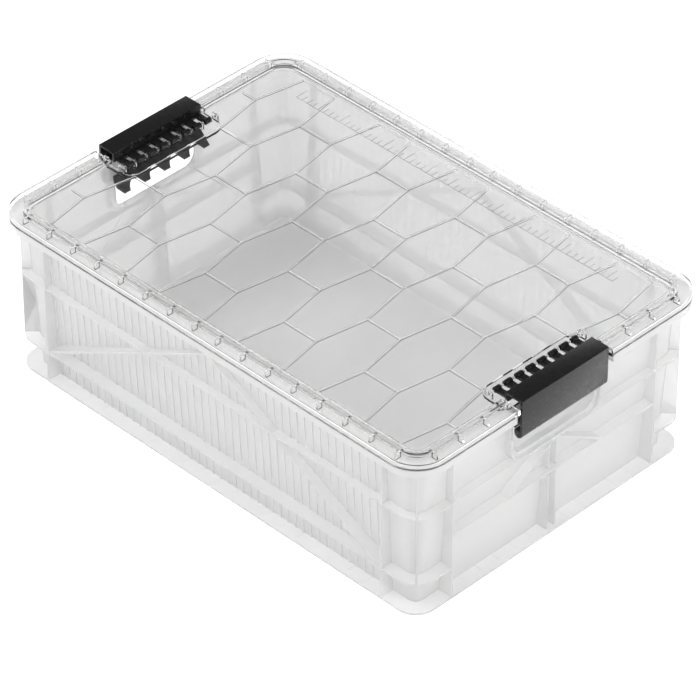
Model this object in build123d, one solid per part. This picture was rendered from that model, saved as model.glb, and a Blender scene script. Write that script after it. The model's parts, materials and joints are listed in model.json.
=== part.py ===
"""Storage crate with a clear lid, two latches and two finger grips.

Millimetres, +Z up, +X along the length, origin at the middle of the base.
"""
from build123d import *
import math
import os

os.makedirs("parts", exist_ok=True)

# Driving dimensions: half sizes and corner of the plates round the crate, its rim and its plastic
PLATE_X = 234.0
PLATE_Y = 157.2
PLATE_R = 19.5
RIM_TOP = 153.2
WALL = 1.8
PLATE = 2.0
DRAFT = 0.06
COLLAR_HALF = 51.9
LATCH_HALF = 49.5

# Crate: walls at the base, ribs, posts and braces, then the rim
BASE_X = PLATE_X - 13.8
BASE_Y = PLATE_Y - 13.4
WALL_R = PLATE_R - 11.4
FLOOR = PLATE
LOW_RIB_TOP = 0.21 * RIM_TOP
MID_RIB_TOP = 0.428 * RIM_TOP
HIGH_RIB_TOP = 0.643 * RIM_TOP
POST_X = 0.831 * PLATE_X
POST_Y = 0.743 * PLATE_Y
BRACE_APEX = 0.894 * RIM_TOP
CORNER_PLATE_TOP = RIM_TOP - 3.2
FLUTE_PITCH = 8.68
FLUTE_WIDTH = 1.2
FLUTE_DEPTH = 1.0
GUSSET_PITCH = 2.2 * FLUTE_PITCH
GUSSET = 5.0
END_POST_GAP = 8.8
END_BRACE_FOOT = COLLAR_HALF + 2.1
RIM_X = PLATE_X + 8.4
RIM_Y = PLATE_Y + 9.2
RIM_R = PLATE_R + 11.3
RIM_PLATE = 1.9
BAND_BOTTOM = RIM_TOP - 6.7
BAND = 1.6

# Hand holes in the end walls, with the collar round each and the bar above it
HOLE_HALF = COLLAR_HALF - 4.8
HOLE_BOTTOM = HIGH_RIB_TOP + 3.7
HOLE_TOP = RIM_TOP - 16.9
HOLE_R = 12.0
COLLAR_R = 14.6
COLLAR_STEP = 3.2
BAR_TOP = RIM_TOP - 3.6
BAR_X = PLATE_X - 1.5

# Lid: half sizes of its outline, ridge, shelf and tray, and heights of each
LID_X = RIM_X + 0.8
LID_Y = RIM_Y + 0.9
LID_R = RIM_R + 0.8
LID_T = 1.8
LIP_GAP = 1.0
PANEL_TOP = RIM_TOP + 1.0
SHELF_TOP = PANEL_TOP + 4.7
RIDGE_TOP = SHELF_TOP + 1.9
LIP_TOP = RIM_TOP + 5.9
RIDGE_X = LID_X - 12.0
SHELF_X = RIDGE_X - 4.6
TRAY_X = SHELF_X - 4.0
TRAY_Y = LID_Y - LID_X + TRAY_X
CROWN = 0.5
LUG_PITCH = RIDGE_X / 8.095
LUG_REACH = 5.1
LUG_T = 1.6
CELL_PITCH = TRAY_X / 2.459
CELL_HALF = TRAY_Y / 2.994
CELL_EDGE = 0.404 * CELL_PITCH
CELL_RIB = 1.5
CELL_DEPTH = 4.1

# Latch pockets in the lid, and the bars that the latches turn on
HINGE_X = LID_X - 33.3
HINGE_Z = PANEL_TOP + 3.2
HINGE_R = 1.2
POCKET_HALF = LATCH_HALF + 3.2
POCKET_X = HINGE_X - 10.3
POCKET_R = 10.0
POCKET_FLOOR = PANEL_TOP - 2.4
POCKET_END = BAR_X - 0.4
NOTCH_HALF = POCKET_HALF + LID_T + 0.5

# Latches
LATCH_X = LID_X - 1.1
LATCH_TOP = PANEL_TOP + 10.5
LATCH_PLATE = 2.2
LATCH_STEP = HINGE_X + 13.7
ARM_HALF = LATCH_HALF - 2.4
ARM_BOTTOM = HINGE_Z - 2.0
ARM_TOP = HINGE_Z + 0.4
HOOK_TOP = HOLE_TOP - 2.6
HOOK_BOTTOM = HOOK_TOP - 7.1
HOOK_DEPTH = LATCH_X - BAR_X - 1.4
LEDGE = HOOK_TOP + 6.9
BARREL_R = 2.6
KNUCKLE_PITCH = LATCH_HALF / 3.861
WINDOW = 5.3
RUNNING = 0.08

# Finger grips
GRIP_HALF = HOLE_HALF + 2.0
GRIP_TIP = BASE_X - 7.9
GRIP_LOW = HOLE_TOP - 8.6
SCALLOP_PITCH = GRIP_HALF / 2.163
SCALLOP_R = 8.3
GAP = 0.2


def round_slab(x, y, r, z0, z1):
    """Slab with rounded corners, given by half sizes, between two heights."""
    face = Plane.XY.offset(z0) * RectangleRounded(2 * x, 2 * y, r)
    return extrude(face, amount=z1 - z0)


def box(x0, x1, y0, y1, z0, z1):
    """Box between six planes."""
    middle = ((x0 + x1) / 2, (y0 + y1) / 2, (z0 + z1) / 2)
    return Pos(*middle) * Box(abs(x1 - x0), abs(y1 - y0), abs(z1 - z0))


def prism_y(points, y0, y1):
    """Profile in X and Z, carried from y0 to y1."""
    face = make_face(Polyline([(x, y0, z) for x, z in points], close=True))
    return extrude(face, amount=y1 - y0, dir=(0, 1, 0))


def prism_x(points, x0, x1):
    """Profile in Y and Z, carried from x0 to x1."""
    face = make_face(Polyline([(x0, y, z) for y, z in points], close=True))
    return extrude(face, amount=x1 - x0, dir=(1, 0, 0))


def rod_y(x, z, radius, half):
    """Round rod along Y."""
    return Pos(x, 0, z) * Rot(90, 0, 0) * Cylinder(radius, 2 * half)


def both(shape, plane):
    """The shape and its mirror image."""
    return [shape, mirror(shape, about=plane)]


def wall_x(z):
    """Outside of the end wall at a height."""
    return BASE_X + DRAFT * z


def wall_y(z):
    """Outside of the long wall at a height."""
    return BASE_Y + DRAFT * z


def drafted(inset, z0, z1):
    """Solid inside the drafted walls, set in by a distance."""
    faces = []
    for z in (z0, z1):
        corner = WALL_R + DRAFT * z - inset
        face = RectangleRounded(2 * (wall_x(z) - inset), 2 * (wall_y(z) - inset), corner)
        faces.append(Plane.XY.offset(z) * face)
    return loft(faces, ruled=True)


def brace(foot, foot_z, apex_z):
    """Outline of a slanted plate from a foot up to the middle of a wall."""
    lift = PLATE * math.hypot(foot, apex_z - foot_z) / foot / 2
    return [(foot, foot_z - lift), (foot, foot_z + lift), (0, apex_z + lift), (0, apex_z - lift)]


def long_wall_ribs():
    """Flutes, posts and braces of the long wall on +Y."""
    parts = []
    top = RIM_TOP - PLATE
    profile = [
        (wall_y(0) - 1, 0),
        (wall_y(0) + FLUTE_DEPTH, 0),
        (wall_y(top) + FLUTE_DEPTH, top),
        (wall_y(top) - 1, top),
    ]
    count = int((POST_X - PLATE) / FLUTE_PITCH)
    for i in range(-count, count + 1):
        x = i * FLUTE_PITCH
        parts.append(prism_x(profile, x - FLUTE_WIDTH / 2, x + FLUTE_WIDTH / 2))
    for x in (-POST_X, POST_X):
        parts.append(box(x - PLATE / 2, x + PLATE / 2, BASE_Y - 1, PLATE_Y, 0, top))
    slope = brace(POST_X, LOW_RIB_TOP - PLATE / 2, BRACE_APEX)
    parts.append(prism_y(slope, BASE_Y - 1, PLATE_Y))
    parts.append(prism_y([(-x, z) for x, z in slope], BASE_Y - 1, PLATE_Y))
    return parts


def end_wall_ribs():
    """Posts, braces, middle rib and hand hole collar of the end wall on +X."""
    parts = []
    top = RIM_TOP - PLATE
    for y in (-POST_Y, POST_Y):
        parts.append(box(BASE_X - 1, PLATE_X, y - PLATE / 2, y + PLATE / 2, 0, top))
    for y in (-END_POST_GAP / 2, END_POST_GAP / 2):
        parts.append(box(BASE_X - 1, PLATE_X - 3, y - 0.8, y + 0.8, 0, HIGH_RIB_TOP - 1))
    parts.append(box(BASE_X - 1, PLATE_X, -POST_Y, POST_Y, MID_RIB_TOP - PLATE, MID_RIB_TOP))
    slope = brace(END_BRACE_FOOT, MID_RIB_TOP - PLATE / 2, HIGH_RIB_TOP - PLATE / 2)
    parts.append(prism_x(slope, BASE_X - 1, PLATE_X))
    parts.append(prism_x([(-y, z) for y, z in slope], BASE_X - 1, PLATE_X))
    height = RIM_TOP + 20 - HIGH_RIB_TOP
    collar = Plane.YZ.offset(BASE_X) * RectangleRounded(2 * COLLAR_HALF, height, COLLAR_R)
    collar = extrude(collar, amount=PLATE_X - BASE_X)
    parts.append(Pos(0, 0, HIGH_RIB_TOP - PLATE + height / 2) * collar)
    return parts


def foot_gussets():
    """Small plates between the base flange and the foot of the walls."""
    parts = []
    for i in range(-9, 10):
        x = i * GUSSET_PITCH
        for side in (-1, 1):
            parts.append(box(x - 0.8, x + 0.8, side * (BASE_Y - 1), side * (PLATE_Y - GUSSET), 1, FLOOR + GUSSET))
    for i in range(-5, 6):
        y = i * GUSSET_PITCH
        for side in (-1, 1):
            parts.append(box(side * (BASE_X - 1), side * (PLATE_X - GUSSET), y - 0.8, y + 0.8, 1, FLOOR + GUSSET))
    return parts


def corner_plate(sx, sy):
    """Upright plate on the diagonal of a corner."""
    height = CORNER_PLATE_TOP - LOW_RIB_TOP + 1
    plate = Pos(0, 0, LOW_RIB_TOP - 1 + height / 2) * Box(2 * PLATE_R, PLATE, height)
    angle = math.degrees(math.atan2(sy, sx))
    return Pos(sx * (PLATE_X - 7), sy * (PLATE_Y - 7), 0) * Rot(0, 0, angle) * plate


def rim():
    """Flange round the top, with the band that hangs from its edge."""
    flange = round_slab(RIM_X, RIM_Y, RIM_R, RIM_TOP - RIM_PLATE, RIM_TOP)
    band = round_slab(RIM_X, RIM_Y, RIM_R, BAND_BOTTOM, RIM_TOP)
    band -= round_slab(RIM_X - BAND, RIM_Y - BAND, RIM_R - BAND, BAND_BOTTOM - 1, RIM_TOP + 1)
    parts = [flange, band]
    for side in (-1, 1):
        for y in (-NOTCH_HALF - PLATE, NOTCH_HALF):
            x0 = side * (wall_x(RIM_TOP) - 1)
            parts.append(box(x0, side * (RIM_X - 0.5), y, y + PLATE, BAND_BOTTOM, RIM_TOP - 1))
    return parts


def hand_hole():
    """Everything cut away at the hand hole of the end wall on +X."""
    high = HOLE_TOP + 20
    hole = Plane.YZ.offset(wall_x(0) - 20) * RectangleRounded(2 * HOLE_HALF, high - HOLE_BOTTOM, HOLE_R)
    hole = Pos(0, 0, (high + HOLE_BOTTOM) / 2) * extrude(hole, amount=60)
    low = HIGH_RIB_TOP
    inner = RectangleRounded(2 * (COLLAR_HALF - PLATE), high - low, COLLAR_R - PLATE)
    recess = Plane.YZ.offset(PLATE_X - COLLAR_STEP) * inner
    recess = Pos(0, 0, (high + low) / 2) * extrude(recess, amount=20)
    far = RIM_X + 60
    above = box(wall_x(0) - 30, far, -COLLAR_HALF - 20, COLLAR_HALF + 20, HOLE_TOP, high + 10)
    front = box(BAR_X, far, -NOTCH_HALF, NOTCH_HALF, HOLE_TOP - 14, high + 10)
    top = box(BASE_X - 1, far, -NOTCH_HALF, NOTCH_HALF, BAR_TOP, high + 10)
    return [hole - above, recess - above, front, top]


def crate_body():
    """Open crate: drafted walls, ribs, rim and hand holes."""
    add = []
    for z1 in (FLOOR, HIGH_RIB_TOP):
        add.append(round_slab(PLATE_X, PLATE_Y, PLATE_R, z1 - PLATE, z1))
    low = round_slab(PLATE_X, PLATE_Y, PLATE_R, LOW_RIB_TOP - PLATE, LOW_RIB_TOP)
    for side in (-1, 1):
        low -= box(side * (BASE_X - 1), side * RIM_X, -POST_Y, POST_Y, LOW_RIB_TOP - 5, LOW_RIB_TOP + 1)
    add.append(low)
    for part in long_wall_ribs():
        add += both(part, Plane.XZ)
    for part in end_wall_ribs():
        add += both(part, Plane.YZ)
    add += foot_gussets()
    for sx in (-1, 1):
        for sy in (-1, 1):
            add.append(corner_plate(sx, sy))
    shell = drafted(0, 0, RIM_TOP - 1).fuse(*add)
    shell = shell & round_slab(PLATE_X, PLATE_Y, PLATE_R, 0, RIM_TOP)
    shell = shell.fuse(*rim())
    cut = [drafted(WALL, FLOOR, RIM_TOP + 2)]
    for part in hand_hole():
        cut += both(part, Plane.YZ)
    return shell.cut(*cut)


def lid_ring(half_x, z0, z1):
    """Slab whose outline runs parallel to the lid's outer edge."""
    inset = LID_X - half_x
    return round_slab(half_x, LID_Y - inset, LID_R - inset, z0, z1)


def lid_slope(x0, z0, x1, z1):
    """Solid that widens from one lid outline to another."""
    inset = LID_X - x0
    face = Plane.XY.offset(z0) * RectangleRounded(2 * x0, 2 * (LID_Y - inset), LID_R - inset)
    return extrude(face, amount=z1 - z0, taper=-math.degrees(math.atan2(x1 - x0, z1 - z0)))


def cells():
    """Openings of the hexagonal rib lattice under the lid."""
    half = CELL_EDGE / 2
    lean = CELL_PITCH / 2 - half
    corners = [(half, CELL_HALF), (lean, 0), (half, -CELL_HALF), (-half, -CELL_HALF), (-lean, 0), (-half, CELL_HALF)]
    cell = make_face(Polyline([(x, y, 0) for x, y in corners], close=True))
    cell = offset(cell, amount=-CELL_RIB / 2, kind=Kind.INTERSECTION)
    found = []
    for i in range(-5, 6):
        for j in range(-4, 5):
            if (i + j) % 2 == 0:
                found.append(Pos(i * CELL_PITCH / 2, j * CELL_HALF, 0) * cell)
    return found


def lugs():
    """Small upright plates that cross the ridge into the outer channel."""
    parts = []
    side_y = LID_Y - LID_X
    for sx in (-1, 1):
        for sy in (-1, 1):
            for i in range(8):
                x = sx * LUG_PITCH * (i + 0.46)
                y0 = sy * (side_y + SHELF_X + 1)
                y1 = sy * (side_y + RIDGE_X + LUG_REACH)
                parts.append(box(x - LUG_T / 2, x + LUG_T / 2, y0, y1, SHELF_TOP - 1, RIDGE_TOP))
                y0 = sy * (side_y + RIDGE_X - 1)
                parts.append(box(x - LUG_T / 2, x + LUG_T / 2, y0, y1, RIM_TOP + 1, RIDGE_TOP))
            for i in range(3):
                y = sy * (LID_Y - LUG_PITCH * (i + 1.02))
                x1 = sx * (RIDGE_X + LUG_REACH)
                parts.append(box(sx * (SHELF_X + 1), x1, y - LUG_T / 2, y + LUG_T / 2, SHELF_TOP - 1, RIDGE_TOP))
                parts.append(box(sx * (RIDGE_X - 1), x1, y - LUG_T / 2, y + LUG_T / 2, RIM_TOP + 1, RIDGE_TOP))
    return parts


def lid():
    """Clear lid: tray panel, ridge, outer channel, lattice and latch pockets."""
    body = lid_ring(RIDGE_X, RIM_TOP, RIDGE_TOP)
    body += lid_ring(TRAY_X + LID_T, PANEL_TOP - LID_T, RIM_TOP + 1)
    lip = lid_ring(LID_X, RIM_TOP + LIP_GAP, LIP_TOP)
    body += lip - lid_ring(LID_X - LID_T, RIM_TOP, LIP_TOP + 1)
    body += lid_ring(LID_X - 1, RIM_TOP, RIM_TOP + LID_T)
    under = lid_ring(RIDGE_X - LID_T, RIM_TOP - 3, SHELF_TOP - LID_T)
    body = body.cut(
        lid_ring(TRAY_X, PANEL_TOP, RIDGE_TOP + 2),
        lid_ring(SHELF_X, SHELF_TOP, RIDGE_TOP + 2),
        lid_slope(SHELF_X, SHELF_TOP, RIDGE_X - CROWN, RIDGE_TOP + 0.4),
        under - lid_ring(TRAY_X + LID_T, RIM_TOP - 4, RIDGE_TOP),
    )
    body = body.fuse(*lugs())
    lattice = RectangleRounded(2 * TRAY_X, 2 * TRAY_Y, LID_R - LID_X + TRAY_X) - cells()
    body += extrude(Pos(0, 0, PANEL_TOP - LID_T - CELL_DEPTH) * lattice, amount=CELL_DEPTH + 0.5)
    for side in (-1, 1):
        body = latch_pocket(body, side)
    return body


def pocket_outline(grow):
    """Outline of a latch pocket on +X, rounded at its inboard corners."""
    length = LID_X + 30 - POCKET_X + grow
    whole = Rectangle(length, 2 * (POCKET_HALF + grow))
    whole = Pos(LID_X + 30 - length / 2, 0) * whole
    whole = fillet(whole.vertices(), POCKET_R + grow)
    return whole & (Pos(10, 0) * Rectangle(2 * LID_X, 2 * LID_Y))


def latch_pocket(body, side):
    """Cuts a latch pocket into the lid and adds its walls, floor and hinge bar."""
    top = RIDGE_TOP + 1
    low = POCKET_FLOOR - LID_T
    wide = POCKET_HALF + 15
    clear = extrude(Pos(0, 0, low - 8) * pocket_outline(LID_T), amount=top - low + 9)
    walls = extrude(Pos(0, 0, low) * pocket_outline(LID_T), amount=top - low)
    walls -= extrude(Pos(0, 0, POCKET_FLOOR) * pocket_outline(0), amount=20)
    walls -= box(POCKET_END, LID_X + 20, -POCKET_HALF, POCKET_HALF, low - 5, top + 5)
    keep = box(POCKET_X - 20, LID_X, -wide, wide, low, PANEL_TOP)
    keep += box(TRAY_X, SHELF_X, -wide, wide, low, SHELF_TOP)
    keep += box(SHELF_X, RIDGE_X, -wide, wide, low, RIDGE_TOP)
    keep += box(RIDGE_X, LID_X, -wide, wide, low, LIP_TOP)
    keep += box(HINGE_X - 4, HINGE_X + 4, -wide, wide, low, HINGE_Z + 2.5)
    walls = walls & keep
    walls -= box(RIDGE_X - LID_T - 0.5, LID_X + 20, -wide, wide, low - 5, RIM_TOP)
    for i in range(-3, 4):
        y = i * KNUCKLE_PITCH
        walls += box(HINGE_X - 1, HINGE_X + 1, y - 0.9, y + 0.9, POCKET_FLOOR - 0.5, HINGE_Z)
    walls += rod_y(HINGE_X, HINGE_Z, HINGE_R, POCKET_HALF + 0.5)
    if side < 0:
        clear = mirror(clear, about=Plane.YZ)
        walls = mirror(walls, about=Plane.YZ)
    return body - clear + walls


def latch():
    """Latch on +X: hinge knuckles, top bar, outer plate and hook."""
    inner = LATCH_X - LATCH_PLATE
    back = LATCH_X - HOOK_DEPTH
    profile = [
        (LATCH_STEP, ARM_BOTTOM),
        (LATCH_STEP, LATCH_TOP),
        (LATCH_X, LATCH_TOP),
        (LATCH_X, HOOK_BOTTOM + 4.0),
        (LATCH_X - 1.2, HOOK_BOTTOM + 1.3),
        (LATCH_X - 3.4, HOOK_BOTTOM),
        (LATCH_X - 5.2, HOOK_BOTTOM),
        (back + 0.7, HOOK_BOTTOM + 1.7),
        (back, HOOK_BOTTOM + 4.0),
        (back, HOOK_TOP),
        (inner, HOOK_TOP),
        (inner, LEDGE),
        (back - 0.4, LEDGE),
        (back - 0.4, LEDGE + 1.4),
        (inner, LEDGE + 1.4),
        (inner, LATCH_TOP - LATCH_PLATE),
        (LATCH_STEP + LATCH_PLATE, LATCH_TOP - LATCH_PLATE),
        (LATCH_STEP + LATCH_PLATE, ARM_BOTTOM),
    ]
    body = prism_y(profile, -LATCH_HALF, LATCH_HALF)
    edges = body.edges().filter_by(Axis.Y)
    brow = [e for e in edges if e.center().X > LATCH_X - 0.1 and e.center().Z > LATCH_TOP - 0.1]
    body = fillet(brow, 1.0)
    arms = box(HINGE_X, LATCH_STEP + 0.5, -ARM_HALF, ARM_HALF, ARM_BOTTOM, ARM_TOP)
    arms += rod_y(HINGE_X, HINGE_Z, BARREL_R, ARM_HALF)
    for i in range(-3, 4):
        y = i * KNUCKLE_PITCH
        arms -= box(HINGE_X - 5, LATCH_STEP - 3, y - WINDOW / 2, y + WINDOW / 2, ARM_BOTTOM - 5, ARM_TOP + 5)
    arms -= rod_y(HINGE_X, HINGE_Z, HINGE_R + RUNNING, ARM_HALF + 5)
    return body + arms


def finger_grip():
    """Finger grip on +X: a scalloped wedge behind the top edge of the hand hole."""
    step = GRIP_LOW + 4.3
    low = wall_x(step) - WALL - GAP
    high = wall_x(HOLE_TOP + 2.4) - WALL - GAP
    profile = [
        (GRIP_TIP + 6.8, GRIP_LOW + 6.6),
        (GRIP_TIP, GRIP_LOW),
        (GRIP_TIP + 10.5, GRIP_LOW + 0.5),
        (GRIP_TIP + 11.2, step),
        (low, step),
        (high, HOLE_TOP + 2.4),
        (GRIP_TIP + 10.6, HOLE_TOP + 2.4),
    ]
    grip = prism_y(profile, -GRIP_HALF, GRIP_HALF)
    for i in (-1.5, -0.5, 0.5, 1.5):
        scallop = Rot(0, 90, 0) * Cylinder(SCALLOP_R, 15)
        grip -= Pos(GRIP_TIP + 3.6, i * SCALLOP_PITCH, GRIP_LOW - 2.8) * scallop
    return grip + box(low - 1, BAR_X, 0.4 - HOLE_HALF, HOLE_HALF - 0.4, step, HOLE_TOP - GAP / 2)


def write(name, shape):
    """Writes one named piece."""
    solids = shape.solids()
    solid = solids[0] if len(solids) == 1 else Compound(children=list(solids))
    print(name, len(solids), round(shape.volume))
    export_step(solid, "parts/" + name + ".step")


write("crate_body", crate_body())
write("lid", lid())
right = latch()
write("right_latch", right)
write("left_latch", mirror(right, about=Plane.YZ))
grip = finger_grip()
write("right_finger_grip", grip)
write("left_finger_grip", mirror(grip, about=Plane.YZ))
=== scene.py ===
"""Looks of a storage crate with a clear lid, two black latches and two finger grips."""

import json
import logging
import math
from collections.abc import Iterator
from contextlib import contextmanager
from dataclasses import dataclass, field
from enum import Enum

import bpy
from mathutils import Matrix, Vector

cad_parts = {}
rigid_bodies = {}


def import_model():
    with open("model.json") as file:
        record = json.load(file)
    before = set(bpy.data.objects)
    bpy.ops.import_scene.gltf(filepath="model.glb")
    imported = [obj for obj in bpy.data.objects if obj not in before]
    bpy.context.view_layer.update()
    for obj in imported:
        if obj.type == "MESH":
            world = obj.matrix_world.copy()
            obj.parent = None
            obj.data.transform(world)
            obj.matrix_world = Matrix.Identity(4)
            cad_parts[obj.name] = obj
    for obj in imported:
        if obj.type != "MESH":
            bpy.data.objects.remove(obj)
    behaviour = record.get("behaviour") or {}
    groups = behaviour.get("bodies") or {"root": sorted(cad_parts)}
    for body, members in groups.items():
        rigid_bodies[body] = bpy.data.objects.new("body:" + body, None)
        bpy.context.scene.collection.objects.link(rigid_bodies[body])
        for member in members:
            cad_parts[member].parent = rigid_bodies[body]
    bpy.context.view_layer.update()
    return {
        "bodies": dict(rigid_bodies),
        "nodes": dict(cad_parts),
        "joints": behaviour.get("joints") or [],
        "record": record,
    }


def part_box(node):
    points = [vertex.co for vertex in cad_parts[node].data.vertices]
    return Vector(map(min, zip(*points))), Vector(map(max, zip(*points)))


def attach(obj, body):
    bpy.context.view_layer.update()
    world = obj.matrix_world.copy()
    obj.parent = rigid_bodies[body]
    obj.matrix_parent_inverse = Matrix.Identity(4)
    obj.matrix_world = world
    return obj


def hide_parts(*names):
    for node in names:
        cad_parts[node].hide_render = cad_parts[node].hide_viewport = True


LOG = logging.getLogger("storage_crate")

GRAIN_SCALE = 260.0
GRAIN_SHARE = 0.1
SCUFF_LOW = 0.3
SCUFF_HIGH = 0.7
BUMP_DISTANCE = 0.001
DARK_TO_LIGHT = 1.6
MERGE = 0.000002
LEVEL_TOLERANCE = 0.00002
FLAT_ANGLE = math.radians(1.0)
SHARP_ANGLE = math.radians(35.0)


class End(Enum):
    """The two ends of the crate, by the sign of their X."""

    LEFT = -1
    RIGHT = 1

    @property
    def prefix(self) -> str:
        """First word of the names of this end's nodes."""
        return self.name.lower()


class Ray(Enum):
    """Kinds of ray that see the white studio instead of its light."""

    CAMERA = "Is Camera Ray"
    GLOSSY = "Is Glossy Ray"
    TRANSMISSION = "Is Transmission Ray"


def add_node(tree: bpy.types.NodeTree, kind: str, **values: object) -> bpy.types.Node:
    """Adds a shader node and sets its constant inputs.

    Args:
        tree: The node tree that gets the node.
        kind: Blender's name of the node type.
        values: Properties by name, or inputs by name with "_" for a space.

    Returns:
        The new node.
    """
    node = tree.nodes.new(kind)
    for name, value in values.items():
        socket = node.inputs.get(name.replace("_", " "))
        if hasattr(node, name):
            setattr(node, name, value)
        elif socket is not None:
            socket.default_value = value
    return node


def moulding_group() -> bpy.types.NodeTree:
    """Builds the shared effect of moulded plastic: faint flow marks and fine scuffs.

    Returns:
        The node group, with inputs Flow Scale and Scuff Scale, and outputs Flow, Scuff and Height.
    """
    name = "moulded_plastic_marks"
    if name in bpy.data.node_groups:
        return bpy.data.node_groups[name]
    group = bpy.data.node_groups.new(name, "ShaderNodeTree")
    for label, value in (("Flow Scale", 9.0), ("Scuff Scale", 160.0)):
        socket = group.interface.new_socket(label, in_out="INPUT", socket_type="NodeSocketFloat")
        socket.default_value = value
    for label in ("Flow", "Scuff", "Height"):
        group.interface.new_socket(label, in_out="OUTPUT", socket_type="NodeSocketFloat")
    inside = add_node(group, "NodeGroupInput")
    outside = add_node(group, "NodeGroupOutput")
    place = add_node(group, "ShaderNodeTexCoord")
    flow = add_node(group, "ShaderNodeTexNoise", Detail=3.0, Roughness=0.45)
    scuff = add_node(group, "ShaderNodeTexNoise", Detail=5.0, Roughness=0.6)
    grain = add_node(group, "ShaderNodeTexNoise", Scale=GRAIN_SCALE, Detail=1.0)
    both = add_node(group, "ShaderNodeMath", operation="MULTIPLY_ADD")
    both.inputs[1].default_value = GRAIN_SHARE
    for texture in (flow, scuff, grain):
        group.links.new(place.outputs["Object"], texture.inputs["Vector"])
    group.links.new(inside.outputs["Flow Scale"], flow.inputs["Scale"])
    group.links.new(inside.outputs["Scuff Scale"], scuff.inputs["Scale"])
    group.links.new(grain.outputs["Fac"], both.inputs[0])
    group.links.new(flow.outputs["Fac"], both.inputs[2])
    group.links.new(flow.outputs["Fac"], outside.inputs["Flow"])
    group.links.new(scuff.outputs["Fac"], outside.inputs["Scuff"])
    group.links.new(both.outputs[0], outside.inputs["Height"])
    return group


def thin_shadow(tree: bpy.types.NodeTree, shader: bpy.types.Node, alpha: float) -> None:
    """Lets light through a material in its shadow alone.

    Args:
        tree: The material's node tree.
        shader: Its Principled BSDF.
        alpha: How much of the light the shadow keeps back, from 0 to 1.
    """
    path = add_node(tree, "ShaderNodeLightPath")
    shade = add_node(tree, "ShaderNodeMapRange")
    shade.inputs["To Min"].default_value = 1.0
    shade.inputs["To Max"].default_value = alpha
    tree.links.new(path.outputs["Is Shadow Ray"], shade.inputs["Value"])
    tree.links.new(shade.outputs["Result"], shader.inputs["Alpha"])


@dataclass(frozen=True)
class Finish:
    """What every moulded finish shares."""

    name: str
    colour: tuple[float, float, float]
    roughness: float
    roughness_spread: float = 0.06
    flow_scale: float = 9.0
    scuff_scale: float = 160.0
    bump: float = 0.02

    def start(self) -> tuple[bpy.types.Material, bpy.types.Node, bpy.types.Node]:
        """Makes the material with its marks, roughness and bump.

        Returns:
            The material, its Principled BSDF and its marks group node.
        """
        material = bpy.data.materials.new(self.name)
        material.use_nodes = True
        tree = material.node_tree
        shader = tree.nodes["Principled BSDF"]
        shader.inputs["Base Color"].default_value = (*self.colour, 1.0)
        marks = add_node(tree, "ShaderNodeGroup")
        marks.node_tree = moulding_group()
        marks.inputs["Flow Scale"].default_value = self.flow_scale
        marks.inputs["Scuff Scale"].default_value = self.scuff_scale
        rough = add_node(tree, "ShaderNodeMapRange")
        rough.inputs["From Min"].default_value = SCUFF_LOW
        rough.inputs["From Max"].default_value = SCUFF_HIGH
        rough.inputs["To Min"].default_value = max(self.roughness - self.roughness_spread, 0.0)
        rough.inputs["To Max"].default_value = self.roughness + self.roughness_spread
        bump = add_node(tree, "ShaderNodeBump", Strength=self.bump, Distance=BUMP_DISTANCE)
        tree.links.new(marks.outputs["Scuff"], rough.inputs["Value"])
        tree.links.new(rough.outputs["Result"], shader.inputs["Roughness"])
        tree.links.new(marks.outputs["Height"], bump.inputs["Height"])
        tree.links.new(bump.outputs["Normal"], shader.inputs["Normal"])
        return material, shader, marks


@dataclass(frozen=True)
class ClearPlastic(Finish):
    """Clear glossy plastic: real refraction, with light let through in its shadow."""

    ior: float = 1.36
    shadow_alpha: float = 0.12

    def material(self) -> bpy.types.Material:
        """The finished clear material."""
        material, shader, _ = self.start()
        tree = material.node_tree
        shader.inputs["IOR"].default_value = self.ior
        shader.inputs["Transmission Weight"].default_value = 1.0
        thin_shadow(tree, shader, self.shadow_alpha)
        return material


def floor_mask_group() -> bpy.types.NodeTree:
    """Builds the mask of the crate's floor panel, where its shade is painted.

    Returns:
        The node group, with inputs Half X, Half Y and Top in metres, and output Mask.
    """
    name = "floor_panel_mask"
    if name in bpy.data.node_groups:
        return bpy.data.node_groups[name]
    group = bpy.data.node_groups.new(name, "ShaderNodeTree")
    for label in ("Half X", "Half Y", "Top"):
        group.interface.new_socket(label, in_out="INPUT", socket_type="NodeSocketFloat")
    group.interface.new_socket("Mask", in_out="OUTPUT", socket_type="NodeSocketFloat")
    inside = add_node(group, "NodeGroupInput")
    outside = add_node(group, "NodeGroupOutput")
    place = add_node(group, "ShaderNodeTexCoord")
    axes = add_node(group, "ShaderNodeSeparateXYZ")
    group.links.new(place.outputs["Object"], axes.inputs[0])
    mask = None
    for axis, label in (("X", "Half X"), ("Y", "Half Y"), ("Z", "Top")):
        size = add_node(group, "ShaderNodeMath", operation="ABSOLUTE")
        group.links.new(axes.outputs[axis], size.inputs[0])
        within = add_node(group, "ShaderNodeMath", operation="LESS_THAN")
        group.links.new(size.outputs[0], within.inputs[0])
        group.links.new(inside.outputs[label], within.inputs[1])
        if mask is None:
            mask = within.outputs[0]
            continue
        joined = add_node(group, "ShaderNodeMath", operation="MULTIPLY")
        group.links.new(mask, joined.inputs[0])
        group.links.new(within.outputs[0], joined.inputs[1])
        mask = joined.outputs[0]
    group.links.new(mask, outside.inputs["Mask"])
    return group


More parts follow.
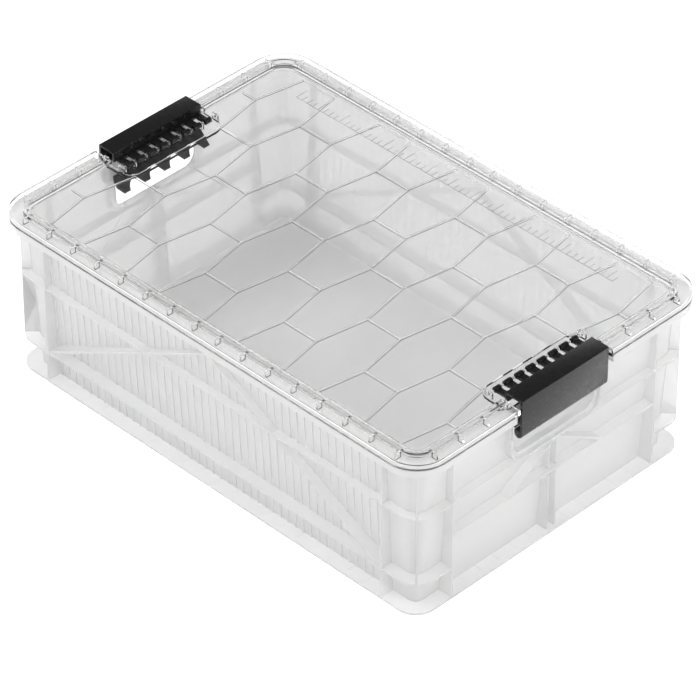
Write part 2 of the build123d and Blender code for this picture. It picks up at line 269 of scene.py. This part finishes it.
@dataclass(frozen=True)
class MilkyPlastic(Finish):
    """Frosted plastic that scatters what is seen through it, with light let through in its shadow, and
    painted shade on its floor panel.
    """

    ior: float = 1.35
    transmission: float = 0.55
    shadow_alpha: float = 0.15
    # Painted shade on the floor panel: its grey and its lighter clouds, both darker than the walls.
    floor_shade_colour: tuple[float, float, float] = (0.73, 0.73, 0.73)
    floor_shade_cloud: tuple[float, float, float] = (0.83, 0.83, 0.83)
    floor_half: tuple[float, float] = (0.2184, 0.1420)
    floor_top: float = 0.0024

    def paint_floor_shade(self, material: bpy.types.Material, shader: bpy.types.Node, marks: bpy.types.Node) -> None:
        """Paints shade on the floor panel: greyer than the walls, with faint lighter clouds.

        Args:
            material: The crate's material.
            shader: Its Principled BSDF.
            marks: Its node of the shared moulding marks.
        """
        tree = material.node_tree
        mask = add_node(tree, "ShaderNodeGroup")
        mask.node_tree = floor_mask_group()
        mask.inputs["Half X"].default_value, mask.inputs["Half Y"].default_value = self.floor_half
        mask.inputs["Top"].default_value = self.floor_top
        # Painted shade: the floor panel's grey, mixed with lighter clouds by the flow noise.
        shade_clouds = add_node(tree, "ShaderNodeMix", data_type="RGBA")
        shade_clouds.inputs[6].default_value = (*self.floor_shade_colour, 1.0)
        shade_clouds.inputs[7].default_value = (*self.floor_shade_cloud, 1.0)
        tree.links.new(marks.outputs["Flow"], shade_clouds.inputs[0])
        # The painted shade goes on the floor panel alone; the walls keep the plastic's own colour.
        tone_and_shade_mix = add_node(tree, "ShaderNodeMix", data_type="RGBA")
        tone_and_shade_mix.inputs[6].default_value = (*self.colour, 1.0)
        tree.links.new(mask.outputs["Mask"], tone_and_shade_mix.inputs[0])
        tree.links.new(shade_clouds.outputs[2], tone_and_shade_mix.inputs[7])
        tree.links.new(tone_and_shade_mix.outputs[2], shader.inputs["Base Color"])

    def material(self) -> bpy.types.Material:
        """The finished milky material."""
        material, shader, marks = self.start()
        # Painted shade on the floor panel.
        self.paint_floor_shade(material, shader, marks)
        tree = material.node_tree
        shader.inputs["IOR"].default_value = self.ior
        shader.inputs["Transmission Weight"].default_value = self.transmission
        thin_shadow(tree, shader, self.shadow_alpha)
        return material


@dataclass(frozen=True)
class BlackPlastic(Finish):
    """Opaque black plastic with a satin skin."""

    def material(self) -> bpy.types.Material:
        """The finished black material."""
        material, shader, marks = self.start()
        tree = material.node_tree
        tone_and_shade_mix = add_node(tree, "ShaderNodeMix", data_type="RGBA")
        tone_and_shade_mix.inputs[6].default_value = (*self.colour, 1.0)
        tone_and_shade_mix.inputs[7].default_value = (*(DARK_TO_LIGHT * c for c in self.colour), 1.0)
        tree.links.new(marks.outputs["Flow"], tone_and_shade_mix.inputs[0])
        tree.links.new(tone_and_shade_mix.outputs[2], shader.inputs["Base Color"])
        return material


LID_FINISH = ClearPlastic("clear_lid_plastic", (1.0, 1.0, 1.0), 0.03, 0.02, bump=0.01)
CRATE_FINISH = MilkyPlastic("milky_crate_plastic", (0.91, 0.91, 0.91), 0.25, 0.02, bump=0.002)
LATCH_FINISH = BlackPlastic("black_latch_plastic", (0.004, 0.004, 0.004), 0.28)
GRIP_FINISH = BlackPlastic("black_grip_plastic", (0.012, 0.012, 0.012), 0.5, bump=0.05)


@contextmanager
def edited(piece: bpy.types.Object) -> Iterator[None]:
    """Edit mode on one piece alone, with all of it selected.

    Args:
        piece: The mesh object to edit.
    """
    bpy.ops.object.select_all(action="DESELECT")
    piece.select_set(True)
    bpy.context.view_layer.objects.active = piece
    bpy.ops.object.mode_set(mode="EDIT")
    bpy.ops.mesh.select_all(action="SELECT")
    yield
    bpy.ops.object.mode_set(mode="OBJECT")


def dress(piece: bpy.types.Object, material: bpy.types.Material) -> None:
    """Gives a piece its material."""
    piece.data.materials.clear()
    piece.data.materials.append(material)
    LOG.info("%s dressed in %s", piece.name, material.name)


def move_level(piece: bpy.types.Object, old: float, new: float) -> None:
    """Moves every vertex of a piece that lies at one height to another.

    Args:
        piece: The mesh object to change.
        old: Height of the vertices, in metres.
        new: Their new height.
    """
    for vertex in piece.data.vertices:
        if abs(vertex.co.z - old) < LEVEL_TOLERANCE:
            vertex.co.z = new


@dataclass(frozen=True)
class Copy:
    """A detailed piece made from a CAD node's mesh, which it stands for."""

    node: str
    body: str
    slot: str

    def build(self, frame: dict, material: bpy.types.Material) -> bpy.types.Object:
        """Copies the node, merges its doubled vertices and dresses it.

        Args:
            material: The finish of the piece.

        Returns:
            The new piece.
        """
        piece = bpy.data.objects.new("dressed_" + self.node, frame["nodes"][self.node].data.copy())
        bpy.context.collection.objects.link(piece)
        with edited(piece):
            bpy.ops.mesh.remove_doubles(threshold=MERGE)
        dress(piece, material)
        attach(piece, self.body)
        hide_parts(self.node)
        return piece


def round_edges(piece: bpy.types.Object, width: float) -> None:
    """Rounds a piece's sharp edges so that they catch the light.

    Args:
        piece: The mesh object to change.
        width: Width of the bevel, in metres.
    """
    with edited(piece):
        bpy.ops.mesh.dissolve_limited(angle_limit=FLAT_ANGLE)
    bevel = piece.modifiers.new("edges", "BEVEL")
    bevel.width = width
    bevel.segments = 2
    bevel.limit_method = "ANGLE"
    bevel.angle_limit = SHARP_ANGLE
    bevel.use_clamp_overlap = True
    bpy.ops.object.modifier_apply(modifier=bevel.name)
    bpy.ops.object.shade_smooth_by_angle(angle=SHARP_ANGLE)


@dataclass
class Crate:
    """The open crate and its two finger grips."""

    frame: dict
    seat_gap: float = 0.0003
    gusset_top: float = 0.007
    gusset_mark: float = 0.0022
    grip_edge: float = 0.0004

    def build(self) -> None:
        """Makes the crate clear of the lid's underside, with low foot marks, and its grips."""
        crate = Copy("crate_body", "crate", "crate_plastic").build(self.frame, CRATE_FINISH.material())
        rim_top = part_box("crate_body")[1][2]
        move_level(crate, rim_top, rim_top - self.seat_gap)
        move_level(crate, self.gusset_top, self.gusset_mark)
        finish = GRIP_FINISH.material()
        for end in End:
            grip = Copy(end.prefix + "_finger_grip", "crate", "grip_plastic").build(self.frame, finish)
            round_edges(grip, self.grip_edge)


@dataclass(frozen=True)
class Rule:
    """Plain rule moulded along the far edge of the lid's panel, in quarter inches."""

    base_y: float = 0.1242
    first_x: float = -0.1848
    pitch: float = 0.00635
    count: int = 58
    short: float = 0.0063
    long: float = 0.0128
    every: int = 4
    width: float = 0.0006
    height: float = 0.0002
    panel_top: float = 0.1542
    sunk: float = 0.0002
    edge: float = 0.00008

    def build(self, material: bpy.types.Material) -> bpy.types.Object:
        """Makes the rule's base line and marks as one piece on the lid.

        Args:
            material: The lid's finish.

        Returns:
            The new piece.
        """
        bpy.ops.object.select_all(action="DESELECT")
        bpy.ops.mesh.primitive_cube_add(size=0.001, location=(0.0, 0.0, 0.0))
        rule = bpy.context.object
        rule.name = "lid_rule"
        length = self.pitch * (self.count - 1)
        with edited(rule):
            bpy.ops.mesh.delete(type="VERT")
            self.add_bar(self.first_x + length / 2, self.base_y, length + self.width, self.width)
            for i in range(self.count):
                reach = self.short if i % self.every else self.long
                middle = self.base_y + self.width + reach / 2
                self.add_bar(self.first_x + i * self.pitch, middle, self.width, reach)
            bpy.ops.mesh.select_all(action="SELECT")
            bpy.ops.mesh.bevel(offset=self.edge, segments=2, affect="EDGES")
        dress(rule, material)
        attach(rule, "lid")
        return rule

    def add_bar(self, x: float, y: float, size_x: float, size_y: float) -> None:
        """Adds one low bar to the mesh in edit mode, seated in the panel."""
        middle = self.panel_top + (self.height - self.sunk) / 2
        size = (size_x, size_y, self.height + self.sunk)
        bpy.ops.mesh.primitive_cube_add(size=1.0, location=(x, y, middle), scale=size)


@dataclass
class Lid:
    """The clear lid with its rule and its two latches."""

    frame: dict
    rib_bottom: float = 0.1512
    latch_edge: float = 0.0005

    def build(self) -> None:
        """Makes the lid with its shallow lattice, its rule and its latches."""
        clear = LID_FINISH.material()
        lid = Copy("lid", "lid", "lid_plastic").build(self.frame, clear)
        move_level(lid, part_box("lid")[0][2], self.rib_bottom)
        Rule().build(clear)
        finish = LATCH_FINISH.material()
        for end in End:
            node = end.prefix + "_latch"
            latch = Copy(node, node, "latch_plastic").build(self.frame, finish)
            round_edges(latch, self.latch_edge)


@dataclass
class Studio:
    """White studio: floor, soft lamps, world and the photograph's camera."""

    camera_place: tuple[float, float, float] = (2.24983, -2.24650, 2.55502)
    camera_back: tuple[float, float, float] = (0.55579, -0.55579, 0.61823)
    lens: float = 253.0
    diffuse_level: float = 0.85
    floor_glow: float = 0.32
    backdrop_top: float = 0.18
    dark_from: float = 0.34
    dark_level: float = 0.2
    lamps: list[tuple[tuple[float, float, float], float, float]] = field(
        default_factory=lambda: [((-1.2, -1.6, 2.6), 1.6, 26.0), ((2.4, 0.6, 1.2), 1.2, 12.0)]
    )

    def build(self) -> None:
        """Builds the whole studio."""
        self.add_camera()
        self.add_floor()
        self.add_world()
        for number, (place, size, power) in enumerate(self.lamps):
            self.add_lamp(number, place, size, power)

    def add_camera(self) -> None:
        """Adds the camera at the photograph's place and angle."""
        data = bpy.data.cameras.new("camera")
        data.sensor_width = 36.0
        data.lens = self.lens
        data.clip_end = 50.0
        camera = bpy.data.objects.new("camera", data)
        camera.location = self.camera_place
        camera.rotation_mode = "QUATERNION"
        camera.rotation_quaternion = (-Vector(self.camera_back)).to_track_quat("-Z", "Y")
        bpy.context.collection.objects.link(camera)
        bpy.context.scene.camera = camera

    def add_floor(self) -> None:
        """Adds a pale floor that keeps a soft shadow."""
        bpy.ops.object.select_all(action="DESELECT")
        bpy.ops.mesh.primitive_plane_add(size=12.0, location=(0.0, 0.0, -0.0005))
        floor = bpy.context.object
        floor.name = "floor"
        floor.data.transform(floor.matrix_world)
        floor.matrix_world = Matrix.Identity(4)
        material = bpy.data.materials.new("pale_floor")
        material.use_nodes = True
        tree = material.node_tree
        shader = tree.nodes["Principled BSDF"]
        shader.inputs["Base Color"].default_value = (0.9, 0.9, 0.9, 1.0)
        shader.inputs["Roughness"].default_value = 0.9
        shader.inputs["Specular IOR Level"].default_value = 0.0
        shader.inputs["Emission Color"].default_value = (1.0, 1.0, 1.0, 1.0)
        glow = add_node(tree, "ShaderNodeMath", operation="MULTIPLY")
        glow.inputs[1].default_value = self.floor_glow
        tree.links.new(self.seen_rays(tree), glow.inputs[0])
        tree.links.new(glow.outputs[0], shader.inputs["Emission Strength"])
        floor.data.materials.append(material)

    def seen_rays(self, tree: bpy.types.NodeTree) -> bpy.types.NodeSocket:
        """Adds the nodes that tell camera, glossy and transmission rays.

        Args:
            tree: The node tree that gets the nodes.

        Returns:
            A socket that is 1 for these rays and 0 for the others.
        """
        path = add_node(tree, "ShaderNodeLightPath")
        socket = path.outputs[Ray.CAMERA.value]
        for ray in (Ray.GLOSSY, Ray.TRANSMISSION):
            larger = add_node(tree, "ShaderNodeMath", operation="MAXIMUM")
            tree.links.new(socket, larger.inputs[0])
            tree.links.new(path.outputs[ray.value], larger.inputs[1])
            socket = larger.outputs[0]
        return socket

    def add_world(self) -> None:
        """Adds the world: white to the camera, a white backdrop with dark air above it in reflections."""
        world = bpy.data.worlds.new("white_studio")
        world.use_nodes = True
        tree = world.node_tree
        background = tree.nodes["Background"]
        background.inputs["Color"].default_value = (1.0, 1.0, 1.0, 1.0)
        place = add_node(tree, "ShaderNodeTexCoord")
        height = add_node(tree, "ShaderNodeSeparateXYZ")
        tree.links.new(place.outputs["Generated"], height.inputs[0])
        mirrored = add_node(tree, "ShaderNodeMapRange")
        mirrored.inputs["From Min"].default_value = self.backdrop_top
        mirrored.inputs["From Max"].default_value = self.dark_from
        mirrored.inputs["To Min"].default_value = 1.0
        mirrored.inputs["To Max"].default_value = self.dark_level
        tree.links.new(height.outputs["Z"], mirrored.inputs["Value"])
        path = add_node(tree, "ShaderNodeLightPath")
        bounced = add_node(tree, "ShaderNodeMath", operation="MAXIMUM")
        tree.links.new(path.outputs[Ray.GLOSSY.value], bounced.inputs[0])
        tree.links.new(path.outputs[Ray.TRANSMISSION.value], bounced.inputs[1])
        direct = add_node(tree, "ShaderNodeMath", operation="LESS_THAN")
        direct.inputs[1].default_value = 0.5
        tree.links.new(path.outputs["Diffuse Depth"], direct.inputs[0])
        mirrored_only = add_node(tree, "ShaderNodeMath", operation="MULTIPLY")
        tree.links.new(bounced.outputs[0], mirrored_only.inputs[0])
        tree.links.new(direct.outputs[0], mirrored_only.inputs[1])
        soft = add_node(tree, "ShaderNodeMix", data_type="FLOAT")
        soft.inputs[2].default_value = self.diffuse_level
        tree.links.new(mirrored_only.outputs[0], soft.inputs[0])
        tree.links.new(mirrored.outputs["Result"], soft.inputs[3])
        seen = add_node(tree, "ShaderNodeMix", data_type="FLOAT")
        seen.inputs[3].default_value = 1.0
        tree.links.new(path.outputs[Ray.CAMERA.value], seen.inputs[0])
        tree.links.new(soft.outputs[0], seen.inputs[2])
        tree.links.new(seen.outputs[0], background.inputs["Strength"])
        bpy.context.scene.world = world
        bpy.context.scene.view_settings.view_transform = "Standard"

    def add_lamp(self, number: int, place: tuple[float, float, float], size: float, power: float) -> None:
        """Adds one soft lamp that looks at the crate.

        Args:
            number: Number in the lamp's name.
            place: Where the lamp hangs, in metres.
            size: Side of its square, in metres.
            power: Power in watts.
        """
        data = bpy.data.lights.new(f"soft_lamp_{number}", "AREA")
        data.size = size
        data.energy = power
        lamp = bpy.data.objects.new(data.name, data)
        lamp.location = place
        aim = Vector((0.0, 0.0, 0.1)) - Vector(place)
        lamp.rotation_euler = aim.to_track_quat("-Z", "Y").to_euler()
        bpy.context.collection.objects.link(lamp)


def main() -> None:
    """Builds the dressed crate in its studio."""
    logging.basicConfig(level=logging.INFO, format="%(name)s: %(message)s")
    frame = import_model()
    Crate(frame).build()
    Lid(frame).build()
    Studio().build()


if __name__ == "__main__":
    main()
